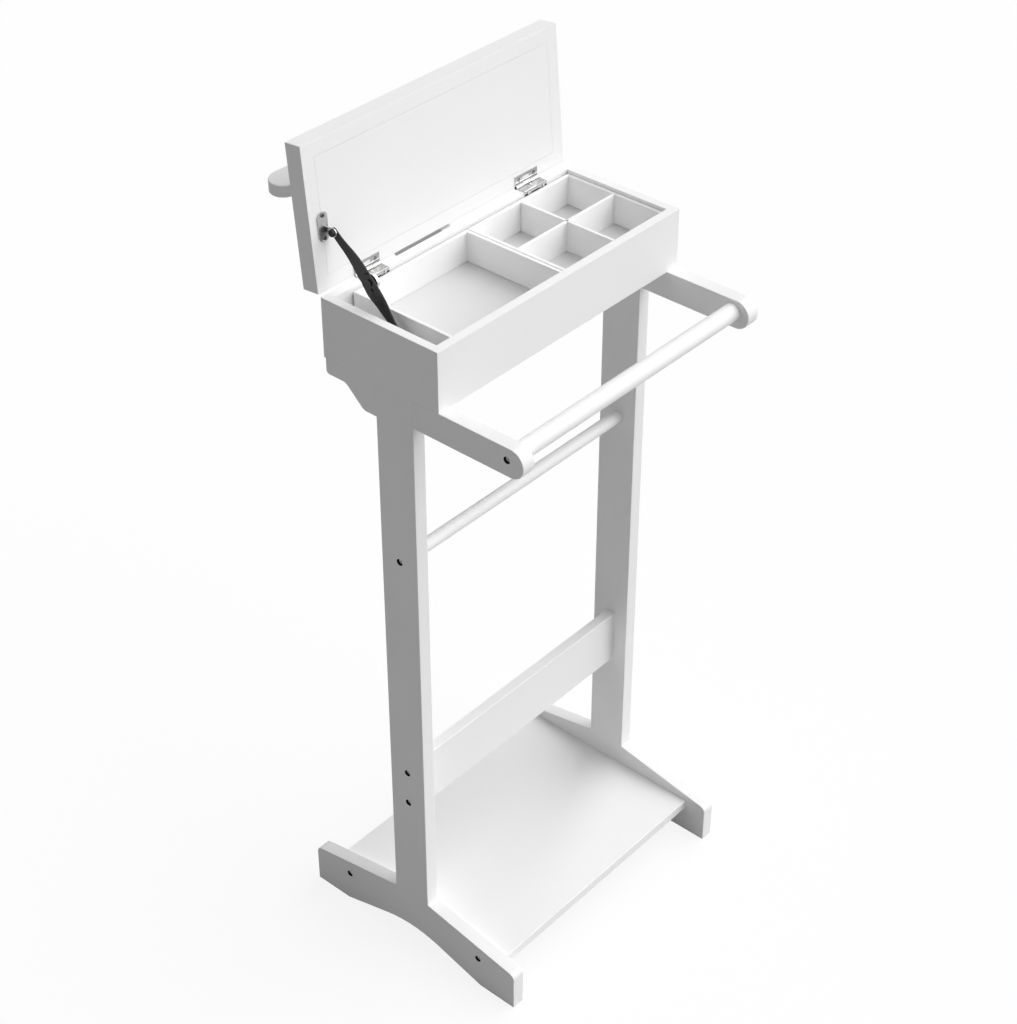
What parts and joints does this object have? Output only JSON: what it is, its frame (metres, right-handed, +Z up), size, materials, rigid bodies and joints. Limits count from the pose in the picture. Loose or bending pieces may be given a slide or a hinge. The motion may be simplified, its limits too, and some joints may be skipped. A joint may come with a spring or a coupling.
{
  "type": "clothes valet stand",
  "caption": "White wooden valet stand with a lidded top box over lift-out trays, a coat hanger behind it, a trouser bar on two arms, a lower rod, a stretcher and a shoe shelf.",
  "frame": {"origin": "on the floor, at the middle of the width and of the whole depth of the stand", "axes": "+X from the left side frame to the right one as seen from the front, +Y from the trouser bar back to the coat hanger, +Z up"},
  "size_m": [0.45, 0.4332, 1.2046],
  "materials": {
    "painted_wood": "smooth white satin paint on fibreboard and solid wood",
    "beech": "bare turned beech",
    "nickel_steel": "satin nickel plate",
    "chrome_steel": "bright chrome plate",
    "zinc_steel": "dull zinc plate",
    "black_steel": "gloss black coating"
  },
  "bodies": {
    "root": {"side_frame_left": "painted_wood", "side_frame_right": "painted_wood", "arm_left": "painted_wood", "arm_right": "painted_wood", "arm_dowels": "beech", "trouser_bar": "painted_wood", "trouser_bar_inserts": "zinc_steel", "trouser_bar_bolts": "nickel_steel", "lower_rod": "painted_wood", "lower_rod_inserts": "zinc_steel", "lower_rod_bolts": "nickel_steel", "stretcher": "painted_wood", "stretcher_cross_nuts": "zinc_steel", "stretcher_bolts": "nickel_steel", "shoe_shelf": "painted_wood", "shelf_cross_nuts": "zinc_steel", "shelf_bolts": "nickel_steel", "box_front": "painted_wood", "box_rear": "painted_wood", "box_left_end": "painted_wood", "box_right_end": "painted_wood", "box_bottom": "painted_wood", "box_dowels": "beech", "tray_ledge_front": "painted_wood", "tray_ledge_rear": "painted_wood", "hinge_wall_leaf_left": "nickel_steel", "hinge_wall_leaf_right": "nickel_steel", "hinge_pins": "nickel_steel", "hinge_wall_screws": "nickel_steel", "stay_base_bracket": "nickel_steel", "stay_base_screws": "nickel_steel", "hanger_support": "painted_wood", "hanger_support_screws": "zinc_steel", "hanger": "painted_wood", "hanger_dowels": "beech"},
    "lid": {"lid_frame": "painted_wood", "lid_panel": "painted_wood", "hinge_lid_leaf_left": "nickel_steel", "hinge_lid_leaf_right": "nickel_steel", "hinge_lid_screws": "nickel_steel", "stay_lid_bracket": "nickel_steel", "stay_bracket_screws": "nickel_steel", "stay_top_rivet": "chrome_steel"},
    "stay_upper": {"stay_upper_arm": "black_steel", "stay_disc": "chrome_steel", "stay_elbow_rivet": "chrome_steel"},
    "stay_lower": {"stay_lower_arm": "black_steel", "stay_stop_pin": "chrome_steel"},
    "tray_open": {"tray_open": "painted_wood", "tray_open_floor": "painted_wood"},
    "tray_divided": {"tray_divided": "painted_wood", "tray_divided_floor": "painted_wood", "tray_divider_long": "painted_wood", "tray_divider_cross": "painted_wood"}
  },
  "joints": [
    {"name": "lid_hinge", "type": "hinge", "parent": "root", "child": "lid", "pos_m": [0, 0.1016, 1.0164], "axis": [-1, 0, 0], "range_deg": [-95, 0]},
    {"name": "stay_top_pivot", "type": "hinge", "parent": "lid", "child": "stay_upper", "pos_m": [-0.1967, 0.10011, 1.09001], "axis": [-1, 0, 0], "range_deg": [0, 4.77]},
    {"name": "stay_elbow", "type": "hinge", "parent": "stay_upper", "child": "stay_lower", "pos_m": [-0.197, 0.0435, 1.0445], "axis": [-1, 0, 0], "range_deg": [0, 142.56]},
    {"name": "tray_open_lift", "type": "slide", "parent": "root", "child": "tray_open", "axis": [0, 0, 1], "range_m": [0, 0.005]},
    {"name": "tray_divided_lift", "type": "slide", "parent": "root", "child": "tray_divided", "axis": [0, 0, 1], "range_m": [0, 0.005]}
  ],
  "couplings": [
    {"joint": "stay_top_pivot", "follows": "lid_hinge", "ratio": -0.04964},
    {"joint": "stay_elbow", "follows": "lid_hinge", "ratio": -1.5001}
  ]
}
